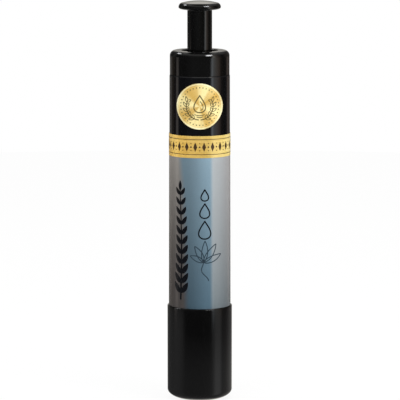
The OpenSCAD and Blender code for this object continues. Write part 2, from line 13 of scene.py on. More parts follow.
import bpy
import numpy as np
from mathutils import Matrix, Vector


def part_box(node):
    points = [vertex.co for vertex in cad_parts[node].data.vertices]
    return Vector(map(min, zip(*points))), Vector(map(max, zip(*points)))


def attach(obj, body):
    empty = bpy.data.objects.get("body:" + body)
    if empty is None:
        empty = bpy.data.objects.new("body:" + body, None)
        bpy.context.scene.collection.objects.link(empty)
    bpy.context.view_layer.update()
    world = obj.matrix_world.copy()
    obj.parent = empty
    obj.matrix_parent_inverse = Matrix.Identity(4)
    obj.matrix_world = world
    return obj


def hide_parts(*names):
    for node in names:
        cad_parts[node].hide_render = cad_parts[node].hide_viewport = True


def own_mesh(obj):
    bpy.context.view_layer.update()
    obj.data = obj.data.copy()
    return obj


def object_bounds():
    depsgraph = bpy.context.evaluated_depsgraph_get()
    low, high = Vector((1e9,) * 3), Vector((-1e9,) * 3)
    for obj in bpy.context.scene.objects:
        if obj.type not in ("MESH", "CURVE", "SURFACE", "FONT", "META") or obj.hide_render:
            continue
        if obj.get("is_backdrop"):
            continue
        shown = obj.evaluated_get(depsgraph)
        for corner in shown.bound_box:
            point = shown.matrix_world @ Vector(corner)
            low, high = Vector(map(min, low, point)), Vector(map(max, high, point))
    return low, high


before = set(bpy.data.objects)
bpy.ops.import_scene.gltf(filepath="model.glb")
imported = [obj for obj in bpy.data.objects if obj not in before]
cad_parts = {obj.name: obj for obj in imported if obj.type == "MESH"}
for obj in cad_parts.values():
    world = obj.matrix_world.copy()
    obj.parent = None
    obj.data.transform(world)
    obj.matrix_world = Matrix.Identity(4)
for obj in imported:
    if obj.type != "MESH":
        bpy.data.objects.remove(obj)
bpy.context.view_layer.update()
MM = 0.001

# %% [markdown]
# The camera comes first, because every later choice is judged through it. A pen is photographed with a
# long lens from a little above, so that its sides stay nearly parallel and the round ends show as thin
# ellipses. A short lens close by would fan the sides out. The place and the lens are plain numbers here.
# The Standard view transform shows every colour as it is written, with no film look laid over it.

# %% Camera
def add_object(name, data):
    """Puts a camera, a lamp or a mesh into the scene as an object."""
    new = bpy.data.objects.new(name, data)
    bpy.context.scene.collection.objects.link(new)
    return new


camera_data = bpy.data.cameras.new("camera")
camera_data.sensor_width = 36
camera_data.lens = 261.4
camera_data.clip_start = 0.01
camera = add_object("camera", camera_data)
camera_aside, camera_away, camera_height, aim_height = 0.00009, 0.84596, 0.17781, 0.05901
camera.location = (camera_aside, -camera_away, camera_height)
aim = Vector((camera_aside, 0, aim_height)) - camera.location
camera.rotation_euler = aim.to_track_quat("-Z", "Y").to_euler()
bpy.context.scene.camera = camera
bpy.context.scene.view_settings.view_transform = "Standard"
print("camera looks down by", round(math.degrees(math.asin(-aim.normalized().z)), 2), "degrees")

# %% [markdown]
# Every finish is a tree of nodes. Writing each node out by hand makes long scripts, so one small helper
# adds a node, sets its options and fills its inputs. An input takes a plain value, or another node's
# output, and then the two are linked. Colours are red, green and blue, and the helper adds the alpha.

# %% Nodes
def fill(tree, target, inputs):
    """Gives each named input of a node its value or colour, or links it to the output that is given."""
    for name, value in inputs.items():
        socket = target.inputs[name]
        if isinstance(value, bpy.types.NodeSocket):
            tree.links.new(value, socket)
        elif socket.type == "RGBA":
            socket.default_value = (*value, 1)
        else:
            socket.default_value = value


def node(tree, kind, inputs, **options):
    """Adds a node to a tree, sets its options and fills its inputs."""
    new = tree.nodes.new(kind)
    for name, value in options.items():
        setattr(new, name, value)
    fill(tree, new, inputs)
    return new


def maths(tree, operation, *values):
    """Output of a Math node on one to three values or outputs."""
    return node(tree, "ShaderNodeMath", dict(enumerate(values)), operation=operation).outputs[0]


def blend(tree, share, first, second, kind="MIX"):
    """Output colour that goes from the first colour to the second as the share goes from 0 to 1."""
    inputs = {0: share, 6: first, 7: second}
    return node(tree, "ShaderNodeMix", inputs, data_type="RGBA", blend_type=kind).outputs[2]


def ease(tree, value, start, end, low=0.0, high=1.0):
    """Output that rises smoothly from low to high while a value goes from start to end."""
    inputs = {"Value": value, "From Min": start, "From Max": end, "To Min": low, "To Max": high}
    return node(tree, "ShaderNodeMapRange", inputs, interpolation_type="SMOOTHSTEP").outputs[0]


print("nodes can be written on one line")

# %% [markdown]
# A real surface is never even, so nearly every finish below needs noise. It is read at the Object
# coordinates, which are metres on the piece itself: the pattern has its real scale and stays with the
# piece when a joint moves it. A noise that is drawn out along one direction gives scratches and tool marks.

# %% Places, noise and finishes
def here(tree):
    """Output with the place of the shaded point on its piece, in metres, from the tree's one node for it."""
    if "here" not in tree.nodes:
        tree.nodes.new("ShaderNodeTexCoord").name = "here"
    return tree.nodes["here"].outputs["Object"]


def noise(tree, scale, detail, place=None, distortion=0.0):
    """Output of a noise from 0 to 1, with about scale lumps in a metre, read here or at another place."""
    inputs = {"Scale": scale, "Detail": detail, "Distortion": distortion}
    inputs["Vector"] = here(tree) if place is None else place
    return node(tree, "ShaderNodeTexNoise", inputs).outputs["Fac"]


def drawn_noise(tree, scales, detail, distortion=0.0):
    """Noise with a scale of its own along X, Y and Z: it is drawn out where its scale is small."""
    place = node(tree, "ShaderNodeMapping", {"Vector": here(tree), "Scale": scales}).outputs[0]
    return noise(tree, 1, detail, place, distortion)


def with_noise(tree, value, low, high):
    """Output from low to high as a noise goes from 0.3 to 0.7, which it seldom leaves."""
    return ease(tree, value, 0.3, 0.7, low, high)


def weighted(tree, *parts):
    """Output that adds values, each times its weight; a part is a value and its weight."""
    total = 0.0
    for value, weight in parts:
        total = maths(tree, "MULTIPLY_ADD", value, weight, total)
    return total


def finish_of(name):
    """New material with a Principled shader; returns the material, its tree and the shader."""
    material = bpy.data.materials.new(name)
    material.use_nodes = True
    tree = material.node_tree
    return material, tree, tree.nodes["Principled BSDF"]


def show(tree, output):
    """Makes a shader's output the one that the material shows."""
    tree.links.new(output, tree.nodes["Material Output"].inputs["Surface"])


def mesh_object(name, points, faces, *materials):
    """New object at the origin from an array of points and a list of faces, with its materials."""
    mesh = bpy.data.meshes.new(name)
    mesh.from_pydata(points, [], faces)
    for material in materials:
        mesh.materials.append(material)
    return add_object(name, mesh)


print("finishes can be made")

# %% [markdown]
# The pen stands on a pale table. In a product picture the table and the backdrop run out to white, and
# only a faint shadow is left under the object. Here the world is white to the camera, to glossy rays and
# to rays through clear pieces, while matt surfaces get a softer grey from it. The floor does the same and
# keeps part of its own shading, so that the shadow stays. Seen from below the floor is clear, so the pen's
# underside can be looked at too.

# %% Backdrop
def seen_directly(tree):
    """Output that is 1 for camera, glossy and transmission rays, and 0 for rays that light matt surfaces."""
    path = node(tree, "ShaderNodeLightPath", {})
    seen = maths(tree, "MAXIMUM", path.outputs["Is Camera Ray"], path.outputs["Is Glossy Ray"])
    return maths(tree, "MAXIMUM", seen, path.outputs["Is Transmission Ray"])


world = bpy.data.worlds.new("white_backdrop")
world.use_nodes = True
bpy.context.scene.world = world
matt_level, seen_level = 0.62, 1.0
tree = world.node_tree
world_level = ease(tree, seen_directly(tree), 0.0, 1.0, matt_level, seen_level)
fill(tree, tree.nodes["Background"], {"Color": (1, 1, 1), "Strength": world_level})
print("the world lights matt surfaces at", matt_level)

# %% Floor
ring_sides = 96


def ring_points(radius, height):
    """Points of a circle round the pen at a height: radius times cosine and sine of equal steps of angle."""
    turned = 2 * np.pi * np.arange(ring_sides) / ring_sides
    return np.column_stack([radius * np.cos(turned), radius * np.sin(turned), np.full(ring_sides, height)])


floor_radius, floor_gap = 0.6, 0.05 * MM
floor_whiteness = 0.92
floor_finish, tree, shader = finish_of("pale_floor")
paper = blend(tree, noise(tree, 900, 3), (0.86, 0.86, 0.86), (0.9, 0.9, 0.9))
fill(tree, shader, {"Base Color": paper, "Roughness": 0.8})
glow = node(tree, "ShaderNodeEmission", {"Color": (1, 1, 1), "Strength": 1.0})
white_share = maths(tree, "MULTIPLY", seen_directly(tree), floor_whiteness)
lit = node(tree, "ShaderNodeMixShader", {0: white_share, 1: shader.outputs[0], 2: glow.outputs[0]})
below = node(tree, "ShaderNodeNewGeometry", {}).outputs["Backfacing"]
clear = node(tree, "ShaderNodeBsdfTransparent", {})
mixed = node(tree, "ShaderNodeMixShader", {0: below, 1: lit.outputs[0], 2: clear.outputs[0]})
show(tree, mixed.outputs[0])
floor = mesh_object("floor", ring_points(floor_radius, -floor_gap), [range(ring_sides)], floor_finish)
floor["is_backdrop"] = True
floor.visible_glossy = False
print("floor radius:", floor_radius, "m")

# %% [markdown]
# Gloss black plastic has almost no colour of its own: what is seen on it is the studio. Photographers
# therefore stand black cards round such a pen and leave one bright panel on the right, a thin bright slit
# on the left, and the white backdrop behind. The round drum below is that set of cards, and only glossy
# rays see it. Its brightness is a ramp over the compass angle, with 0 at the camera's side. There are four
# such ramps: two for the cap, whose lights are dimmer and wider, one for barrel and collar, and one for
# the plunger's stem. Towards its foot the drum fades to one even grey.

# %% Brightness of the cards
# An entry is an angle in degrees and the brightness there: one grey level, or red, green and blue.
cap_base_cards = [
    (-166, 0.12), (-130, 0.12), (-108, 0.20), (-92, 0.27), (-77, 0.29), (-64, 0.25), (-51, 0.20),
    (0, 0.20), (32, 0.23), (42, 0.28), (50, 0.42), (60, 0.76), (75, 0.70), (88, 0.30),
    (106, 0.29, 0.28, 0.27), (126, 0.34, 0.33, 0.32), (166, 0.32, 0.31, 0.30),
]
cap_top_cards = [
    (-166, 0.12), (-130, 0.13), (-108, 0.17), (-92, 0.27), (-77, 0.30), (-65, 0.25), (-56, 0.11),
    (-50, 0.05), (-38, 0.03), (0, 0.02), (36, 0.03), (46, 0.09), (52, 0.18), (60, 0.38), (76, 0.38),
    (88, 0.13), (106, 0.13, 0.12, 0.12), (126, 0.20, 0.19, 0.19), (166, 0.20, 0.19, 0.19),
]
barrel_cards = [
    (-166, 0.10, 0.10, 0.09), (-150, 0.20, 0.19, 0.18), (-138, 0.27, 0.25, 0.23), (-128, 0.11, 0.09, 0.07),
    (-118, 0.10, 0.08, 0.06), (-104, 0.03, 0.02, 0.02), (-98, 0.72, 0.65, 0.60), (-91, 0.72, 0.65, 0.60),
    (-86, 0.06), (-60, 0.05), (-30, 0.10), (0, 0.08), (41, 0.11), (44, 0.90, 0.98, 1.02),
    (48, 1.75, 1.90, 2.00), (51, 1.75, 1.90, 2.00), (54, 0.95, 1.00, 1.00), (68, 0.80, 0.72, 0.64),
    (80, 0.50, 0.38, 0.30), (90, 0.10, 0.08, 0.06), (108, 0.03, 0.03, 0.02), (122, 0.05, 0.04, 0.04),
    (131, 0.32, 0.26, 0.22), (141, 0.26, 0.21, 0.18), (152, 0.10, 0.09, 0.08), (166, 0.07),
]
stem_cards = [
    (-166, 0.07), (-128, 0.05), (-120, 0.14, 0.14, 0.13), (-110, 0.14, 0.14, 0.13), (-102, 0.04),
    (-60, 0.05), (-20, 0.10), (0, 0.10, 0.10, 0.09), (30, 0.05, 0.05, 0.04), (45, 0.04),
    (51, 1.50, 1.47, 1.40), (56, 1.90, 1.84, 1.74), (61, 1.10, 1.00, 0.90), (67, 0.62, 0.52, 0.45),
    (77, 0.32, 0.25, 0.22), (88, 0.12, 0.10, 0.08), (100, 0.02), (112, 0.10, 0.09, 0.08),
    (140, 0.12, 0.11, 0.10), (166, 0.07),
]
card_peak = 2.1
print("stops:", len(barrel_cards), "for the barrel and", len(stem_cards), "for the stem")

# %% Cards round the pen
def cards_ramp(tree, share, cards):
    """Ramp over the compass angle, which comes as a share of the circle: 0.5 is the camera's side.

    A ramp holds no colour above 1, so it holds the brightness divided by card_peak.
    """
    ramp = node(tree, "ShaderNodeValToRGB", {0: share})
    stops = ramp.color_ramp.elements
    stops.remove(stops[-1])
    for number, (angle, *levels) in enumerate(cards):
        at = (angle + 180) / 360
        stop = stops.new(at) if number else stops[0]
        stop.position = at
        colour = levels if len(levels) == 3 else levels * 3
        stop.color = [level / card_peak for level in colour] + [1]
    return ramp.outputs[0]


def apart(tree, place):
    """The X, Y and Z outputs of a place."""
    return node(tree, "ShaderNodeSeparateXYZ", {0: place}).outputs


def compass_of(tree, place):
    """Output with the angle of a place round the pen in radians: 0 in front, and rising to the right."""
    return maths(tree, "ARCTAN2", place["X"], maths(tree, "MULTIPLY", place["Y"], -1.0))


cards_finish, tree, _ = finish_of("cards")
place = apart(tree, here(tree))
compass = compass_of(tree, place)
share = maths(tree, "MULTIPLY_ADD", compass, 0.5 / math.pi, 0.5)
cards = cards_ramp(tree, share, cap_base_cards)
changes = ((-0.114, -0.086, cap_top_cards), (-0.079, -0.075, barrel_cards), (0.0495, 0.0520, stem_cards))
for low, high, upper_cards in changes:
    cards = blend(tree, ease(tree, place["Z"], low, high), cards, cards_ramp(tree, share, upper_cards))
foot_level, foot_low, foot_high = 0.22, -0.85, -0.30
foot_colour = [foot_level / card_peak] * 3
cards = blend(tree, ease(tree, place["Z"], foot_low, foot_high), foot_colour, cards)
print("cards: four ramps, one above the other")

# %% [markdown]
# Straight behind the pen the drum opens on the backdrop. The flat top of the collar and the plunger's dome
# are seen at a very low angle, so they mirror this opening strongly. It is dim a little above the horizon,
# bright and slightly warm higher up: that draws the collar's top in middle grey and the dome in light grey.
# The drum's lid is dark cloth with a bright ring.

# %% Opening behind the pen
opening_starts, opening_full = 166, 171
from_front = maths(tree, "ABSOLUTE", compass)
opening = ease(tree, from_front, math.radians(opening_starts), math.radians(opening_full))
near_horizon = ease(tree, place["Z"], 0.06, 0.14, 1.0, 0.42)
high_up = ease(tree, place["Z"], 0.20, 0.46, 0.0, 1.4)
level = maths(tree, "DIVIDE", maths(tree, "ADD", near_horizon, high_up), card_peak)
warm_white = blend(tree, 1.0, level, (1.02, 0.985, 0.91), "MULTIPLY")
top_light = ease(tree, place["Z"], 0.30, 0.75, 0.0, 0.35 / card_peak)
cards = blend(tree, 1.0, cards, top_light, "ADD")
cards = blend(tree, opening, cards, warm_white)
show(tree, node(tree, "ShaderNodeEmission", {"Color": cards, "Strength": card_peak}).outputs[0])
print("the opening behind the pen is", 2 * (180 - opening_starts), "degrees wide")

# %% Lid of the drum
def length_of(tree, vector):
    """Output with the length of a vector."""
    return node(tree, "ShaderNodeVectorMath", {0: vector}, operation="LENGTH").outputs["Value"]


lid_finish, tree, _ = finish_of("dark_lid")
above = apart(tree, here(tree))["Z"]
flat = node(tree, "ShaderNodeVectorMath", {0: here(tree), 1: (1, 1, 0)}, operation="MULTIPLY").outputs[0]
cloth = blend(tree, noise(tree, 4, 2), (0.03, 0.03, 0.03), (0.08, 0.08, 0.08))
outer_part = ease(tree, length_of(tree, flat), 0.34, 0.46)
bright_ring = maths(tree, "MULTIPLY", outer_part, ease(tree, above, 0, 0.1))
lid_tone = blend(tree, bright_ring, cloth, (0.8, 0.8, 0.78))
lid_tone = blend(tree, ease(tree, above, 0, -0.1), lid_tone, [foot_level] * 3)
show(tree, node(tree, "ShaderNodeEmission", {"Color": lid_tone}).outputs[0])


def for_gloss_only(stage_piece):
    """Keeps a piece of the studio out of the picture: only glossy rays meet it."""
    stage_piece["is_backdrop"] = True
    for way in ("camera", "diffuse", "transmission", "volume_scatter", "shadow"):
        setattr(stage_piece, "visible_" + way, False)


drum_radius, drum_low, drum_high = 0.6, -0.9, 0.9
drum_points = np.vstack([ring_points(drum_radius, drum_low), ring_points(drum_radius, drum_high)])
bottom = np.arange(ring_sides)
after = (bottom + 1) % ring_sides
sides = np.column_stack([bottom, after, after + ring_sides, bottom + ring_sides]).tolist()
lids = [bottom.tolist(), (bottom + ring_sides).tolist()]
card_drum = mesh_object("card_drum", drum_points, sides + lids, cards_finish, lid_finish)
card_drum.data.polygons.foreach_set("material_index", [0] * len(sides) + [1] * len(lids))
for_gloss_only(card_drum)
print("card drum with", len(card_drum.data.polygons), "faces")

# %% [markdown]
# Two small bright cards stand higher up, one on the right and one on the left. Only edges that lean back,
# such as the collar's shoulder, the rim of the thumb head and the cap's lip, can mirror them, and there
# they make the short white glints that tell the eye how round an edge is.

# %% Glint cards
def stand(thing, compass_degrees, away, height, aim_height, front):
    """Stands a thing at a compass angle and height, with its front axis turned to the pen's middle line."""
    turned = math.radians(compass_degrees)
    thing.location = (away * math.sin(turned), -away * math.cos(turned), height)
    to_pen = Vector((0, 0, aim_height)) - thing.location
    thing.rotation_euler = to_pen.to_track_quat(front, "Y").to_euler()


def glint_card(name, compass_degrees, height, width, tall, level):
    """Bright card just inside the drum, facing the pen; level is its brightness."""
    material, tree, _ = finish_of(name)
    tint = blend(tree, noise(tree, 12, 2), (0.92, 0.95, 1), (1, 1, 1))
    show(tree, node(tree, "ShaderNodeEmission", {"Color": tint, "Strength": level}).outputs[0])
    corners = np.array([(-1, -1, 0), (1, -1, 0), (1, 1, 0), (-1, 1, 0)]) * (width / 2, tall / 2, 0)
    card = mesh_object(name, corners, [range(4)], material)
    stand(card, compass_degrees, drum_radius - 0.05, height, 0.1, "Z")
    for_gloss_only(card)


glint_card("glint_card_right", 43, 0.54, 0.30, 0.20, 20.0)
glint_card("glint_card_left", -120, 0.60, 0.24, 0.15, 9.0)
print("two glint cards")

# %% [markdown]
# The printed sleeve, the gold and the inner plastics are matt enough to show light as light. A soft lamp
# on the right gives them their shape, a weaker one on the left keeps the shadow side open, and a wide one
# high above lights what faces up. The lamps don't show in gloss: the cards do that.

# %% Lamps
def soft_lamp(name, compass_degrees, height, away, size, watts, colour):
    """Square area lamp at a compass angle and height, aimed at the middle of the pen."""
    data = bpy.data.lights.new(name, "AREA")
    data.shape = "SQUARE"
    data.size = size
    data.energy = watts
    data.color = colour
    lamp = add_object(name, data)
    stand(lamp, compass_degrees, away, height, 0.06, "-Z")
    lamp.visible_camera = False
    lamp.visible_glossy = False


soft_lamp("key_lamp", 50, 0.35, 0.75, 0.45, 2.6, (1.0, 0.99, 0.97))
soft_lamp("fill_lamp", -38, 0.25, 0.75, 0.45, 1.3, (0.98, 0.99, 1.0))
soft_lamp("top_lamp", 10, 0.9, 0.12, 0.6, 4.5, (1.0, 1.0, 1.0))

# %% [markdown]
# Injection-moulded plastic is never quite even. It has a faint skin from the mould, soft patches where
# hands have polished it, and hair-fine scratches that run along the pen from going in and out of bags.
# All the plastics share these effects, so they are one node group: it puts out a roughness that changes
# over the surface, a height for a Bump node, and a tone for the colour. Each material sets its amounts.

# %% Node groups
def new_socket(tree, name, side):
    """Number socket of a node group on its INPUT or OUTPUT side."""
    return tree.interface.new_socket(name=name, in_out=side, socket_type="NodeSocketFloat")


def new_tree(name, inputs, outputs):
    """Node group with named number inputs (name: value) and outputs; returns it, its inputs and its end."""
    tree = bpy.data.node_groups.new(name, "ShaderNodeTree")
    for socket_name, value in inputs.items():
        new_socket(tree, socket_name, "INPUT").default_value = value
    for socket_name in outputs:
        new_socket(tree, socket_name, "OUTPUT")
    return tree, tree.nodes.new("NodeGroupInput").outputs, tree.nodes.new("NodeGroupOutput")


def use(tree, group, **values):
    """Places a node group in a tree, fills its inputs (an underscore is a space) and gives its outputs."""
    inputs = {name.replace("_", " "): value for name, value in values.items()}
    new = tree.nodes.new("ShaderNodeGroup")
    new.node_tree = group
    fill(tree, new, inputs)
    return new.outputs


print("node groups can be made and used")

# %% Moulded skin, shared by the plastics
skin, amounts, skin_out = new_tree(
    "moulded_skin",
    {"Roughness": 0.3, "Handling": 0.1, "Scratches": 0.3, "Skin scale": 1500.0},
    ("Roughness", "Height", "Tone"),
)
least_roughness = 0.03
patches = noise(skin, 130, 3)
ripple = noise(skin, amounts["Skin scale"], 2)
hair = ease(skin, drawn_noise(skin, (5200, 5200, 110), 2), 0.66, 0.76)
hair = maths(skin, "MULTIPLY", hair, amounts["Scratches"])
polish = maths(skin, "MULTIPLY", maths(skin, "SUBTRACT", patches, 0.5), amounts["Handling"])
rough = maths(skin, "ADD", maths(skin, "ADD", amounts["Roughness"], polish), hair)
made = {
    "Roughness": maths(skin, "MAXIMUM", rough, least_roughness),
    "Height": weighted(skin, (ripple, 0.6), (hair, -0.8)),
    "Tone": weighted(skin, (patches, 0.7), (hair, 0.6)),
}
fill(skin, skin_out, made)
print("moulded_skin has", len(skin.nodes), "nodes")

# %% [markdown]
# The black outer pieces are one plastic with a gloss polish in the mould, and what differs is how crisp
# that polish is: crispest on the barrel and the cap, a little softer on the collar and the plunger, which
# fingers touch. Black is kept above zero and leans a little to blue on the barrel, because no plastic is
# fully black.

# %% Moulded plastic
skin_depth, mark_depth = 0.2 * MM, 0.1 * MM


def bumped(tree, height, strength, distance):
    """Output with the normal of a surface that a height raises by up to the distance, in metres."""
    inputs = {"Height": height, "Strength": strength, "Distance": distance}
    return node(tree, "ShaderNodeBump", inputs).outputs[0]


def moulded(name, dark, light, roughness, handling, scratches, bump=0.02):
    """Moulded plastic: its colour goes from dark to light with the skin's tone."""
    material, tree, shader = finish_of(name)
    made = use(tree, skin, Roughness=roughness, Handling=handling, Scratches=scratches)
    colour = blend(tree, made["Tone"], dark, light)
    normal = bumped(tree, made["Height"], bump, skin_depth)
    fill(tree, shader, {"Base Color": colour, "Roughness": made["Roughness"], "Normal": normal})
    return material


def dress(material, *nodes):
    """Gives CAD nodes this material in place of the plain one."""
    for name in nodes:
        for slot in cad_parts[name].material_slots:
            slot.material = material


gloss_blacks = {
    "cap_shell": ("gloss_black_cap", (0.0006, 0.0006, 0.0007), (0.0018, 0.0018, 0.0019), 0.08, 0.04),
    "barrel_shell": ("gloss_black_barrel", (0.0012, 0.0014, 0.002), (0.003, 0.003, 0.004), 0.07, 0.05),
    "rear_collar": ("gloss_black_collar", (0.0012, 0.0012, 0.0012), (0.003, 0.003, 0.003), 0.09, 0.05),
    "plunger": ("gloss_black_plunger", (0.0012, 0.0012, 0.0012), (0.003, 0.003, 0.003), 0.11, 0.05),
}
outer_scratches = 0.1
for part, (name, dark, light, roughness, handling) in gloss_blacks.items():
    dress(moulded(name, dark, light, roughness, handling, outer_scratches), part)
print("gloss black is on", ", ".join(gloss_blacks))

# %% [markdown]
# The barrel narrows a little towards the plunger, so everything printed on it has to know its radius at
# each height. It is measured on the printed sleeve's own vertices: the largest radius at its two ends less
# its thickness gives the barrel, and a straight line between them is the draft. A unit of its own also
# helps: artwork is drawn flat, as metres round the barrel and metres up, and then wrapped.

# %% Radius of the barrel at a height
def vertices(name):
    """All vertices of a CAD node as an array, in metres."""
    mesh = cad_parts[name].data
    points = np.zeros(len(mesh.vertices) * 3)
    mesh.vertices.foreach_get("co", points)
    return points.reshape(-1, 3)


def from_axis(points):
    """Distance of each point from the pen's middle line."""
    return np.hypot(points[:, 0], points[:, 1])


sleeve = vertices("wrap_label")
sleeve_low, sleeve_high = sleeve[:, 2].min(), sleeve[:, 2].max()
near = 0.01 * MM
low_end, high_end = (sleeve[np.abs(sleeve[:, 2] - z) < near] for z in (sleeve_low, sleeve_high))
radius_low, radius_high = from_axis(low_end).max(), from_axis(high_end).max()
sleeve_t = radius_low - from_axis(low_end).min()


def sleeve_radius(z):
    """Outer radius of the printed sleeve at a height: a straight line between its two ends."""
    return radius_low + (radius_high - radius_low) * (z - sleeve_low) / (sleeve_high - sleeve_low)


def barrel_radius(z):
    """Radius of the barrel's own surface at a height: the sleeve's radius less the sleeve."""
    return sleeve_radius(z) - sleeve_t


def thickness_on_barrel(name):
    """How far a CAD node stands out from the barrel's surface."""
    points = vertices(name)
    return (from_axis(points) - barrel_radius(points[:, 2])).max()


print("barrel diameters in mm:", [round(2 * barrel_radius(z) / MM, 2) for z in (sleeve_low, sleeve_high)])

# %% [markdown]
# The sleeve is a shrink-fit film printed in a blend: a slate-blue field faces the front, warm grey lies to
# its left and pale grey to its right, and all of it darkens towards the cap. The slate field is also painted
# lighter towards the right, as painted light from that side. An image would do this, but a procedural blend
# stays sharp at any size. The compass angle and the height are worked out from Object coordinates, smooth
# steps place the fields, and a clear gloss film lies over the print.

# %% Where a point lies round the pen, shared by the printed finishes
unrolled, ends, unrolled_out = new_tree("unrolled", {"Low": 0.0, "High": 0.1}, ("Degrees", "Rise"))
place = apart(unrolled, here(unrolled))
rise_inputs = {"Value": place["Z"], "From Min": ends["Low"], "From Max": ends["High"]}
made = {
    "Degrees": maths(unrolled, "MULTIPLY", compass_of(unrolled, place), 180 / math.pi),
    "Rise": node(unrolled, "ShaderNodeMapRange", rise_inputs).outputs[0],
}
fill(unrolled, unrolled_out, made)
print("unrolled gives", " and ".join(made))

# %% Fields of the print, with painted light on the slate
print_finish, tree, shader = finish_of("printed_sleeve")
where = use(tree, unrolled, Low=sleeve_low, High=sleeve_high)


def rising(power, foot, top):
    """Colour of a printed field from its foot to its top, as the height's share to a power."""
    return blend(tree, maths(tree, "POWER", where["Rise"], power), foot, top)


slate = rising(1.25, (0.075, 0.130, 0.175), (0.235, 0.345, 0.420))
warm = rising(1.9, (0.053, 0.047, 0.045), (0.235, 0.222, 0.206))
pale = rising(0.85, (0.118, 0.147, 0.163), (0.345, 0.370, 0.385))
# Painted light: the slate field is darker on the left and lighter towards the right, where the lamp stands.
slate = blend(tree, 1.0, slate, ease(tree, where["Degrees"], -24, 26, 0.53, 0.92), "MULTIPLY")
pale = blend(tree, ease(tree, where["Degrees"], 35, 62), pale, (1.0, 0.93, 0.91), "MULTIPLY")
print("three fields: slate in front, warm grey on the left and pale grey on the right")

# %% Printed sleeve
# Angles are in degrees round the pen. The slate field's left edge swings further left as it rises.
edge_at_foot, edge_swing, edge_softness = -26.0, -14.0, 8
pale_starts, pale_full = 19, 27
back_starts, back_full = 95, 175
left_edge = maths(tree, "MULTIPLY_ADD", maths(tree, "POWER", where["Rise"], 2.5), edge_swing, edge_at_foot)
past_edge = maths(tree, "SUBTRACT", where["Degrees"], left_edge)
field = blend(tree, ease(tree, past_edge, -edge_softness, edge_softness), warm, slate)
field = blend(tree, ease(tree, where["Degrees"], pale_starts, pale_full), field, pale)
field = blend(tree, ease(tree, where["Degrees"], back_starts, back_full), field, warm)
ink_dots = with_noise(tree, noise(tree, 9000, 1), 0.93, 1.05)
field = blend(tree, 1.0, field, ink_dots, "MULTIPLY")
film = use(tree, skin, Roughness=0.12, Handling=0.05, Scratches=0.12, Skin_scale=2600)
normal = bumped(tree, film["Height"], 0.03, skin_depth)
fill(tree, shader, {"Base Color": field, "Roughness": film["Roughness"], "Normal": normal})
dress(print_finish, "wrap_label")
print("printed sleeve from", round(sleeve_low / MM, 1), "to", round(sleeve_high / MM, 1), "mm")

# %% [markdown]
# The band and the seal are gold foil under varnish: warmer and more even than bare metal, because the
# varnish scatters light. So the shader is only partly metallic. The band has faint rub lines that run
# round it, and its gold is painted darker in front and lighter towards the right: painted shade and light.
# The seal has the look of a spun disc: bright and dark wedge shapes of painted sheen fan out from its
# middle, four of each, with hair-fine rings across them.

# %% Gold band
band_finish, tree, shader = finish_of("gold_band_foil")
degrees = use(tree, unrolled)["Degrees"]
rub = drawn_noise(tree, (60, 60, 9000), 3)
tone = weighted(tree, (rub, 0.35), (noise(tree, 220, 2), 0.65))
# Painted light: the gold turns lighter and yellower towards the right, where the lamp and the bright card
# stand.
painted_light_to_right = ease(tree, degrees, -20, 60)
deep = blend(tree, painted_light_to_right, (0.72, 0.44, 0.085), (0.80, 0.60, 0.175))
light = blend(tree, painted_light_to_right, (0.86, 0.58, 0.150), (0.92, 0.74, 0.290))
gold = blend(tree, ease(tree, tone, 0.35, 0.65), deep, light)
# Painted shade in front, where the cards are dark, and painted light towards the right.
gold = blend(tree, 1.0, gold, ease(tree, degrees, -45, -12, 1.0, 0.8), "MULTIPLY")
gold = blend(tree, 1.0, gold, ease(tree, degrees, 15, 62, 1.0, 1.3), "MULTIPLY")
roughness = with_noise(tree, rub, 0.2, 0.3)
normal = bumped(tree, rub, 0.04, mark_depth)
fill(tree, shader, {"Base Color": gold, "Metallic": 0.15, "Roughness": roughness, "Normal": normal})
dress(band_finish, "gold_band")
print("gold band is on")

# %% Spun gold seal
seal_low, seal_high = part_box("seal_disc")
seal_z = (seal_low.z + seal_high.z) / 2
seal_r = (seal_high.z - seal_low.z) / 2
seal_t = thickness_on_barrel("seal_disc")
wedge_count, first_wedge, rings_a_metre = 4, math.radians(15), 9000.0


def together(tree, *values):
    """Output with a place made of one to three numbers."""
    return node(tree, "ShaderNodeCombineXYZ", dict(enumerate(values))).outputs[0]


def spun_gold(name, deep, light, roughness):
    """Spun gold from the front: wedge shapes of painted sheen, light and deep gold round the seal's middle,
    and fine rings.
    """
    material, tree, shader = finish_of(name)
    place = apart(tree, here(tree))
    up = maths(tree, "SUBTRACT", place["Z"], seal_z)
    angle = maths(tree, "ARCTAN2", place["X"], up)
    reach = length_of(tree, together(tree, place["X"], up))
    # Painted sheen: bright and dark lobes round the middle, as light falls on spun metal; streaks and rings
    # add to it.
    from_first = maths(tree, "SUBTRACT", angle, first_wedge)
    painted_sheen_wedges = maths(tree, "COSINE", maths(tree, "MULTIPLY", from_first, wedge_count))
    way = together(tree, maths(tree, "SINE", angle), maths(tree, "COSINE", angle))
    streaks = noise(tree, 4.5, 4, way)
    rings = noise(tree, 1, 1, together(tree, maths(tree, "MULTIPLY", reach, rings_a_metre)))
    painted_shine = weighted(tree, (painted_sheen_wedges, 0.27), (streaks, 0.75), (rings, 0.12))
    gold = blend(tree, ease(tree, painted_shine, 0.05, 0.8), deep, light)
    rough = with_noise(tree, rings, roughness, roughness + 0.1)
    normal = bumped(tree, rings, 0.06, mark_depth)
    fill(tree, shader, {"Base Color": gold, "Metallic": 0.2, "Roughness": rough, "Normal": normal})
    return material


dress(spun_gold("spun_gold_seal", (0.66, 0.41, 0.085), (0.98, 0.84, 0.40), 0.26), "seal_disc")
print("seal radius", round(seal_r / MM, 2), "mm, its middle at", round(seal_z / MM, 2), "mm")

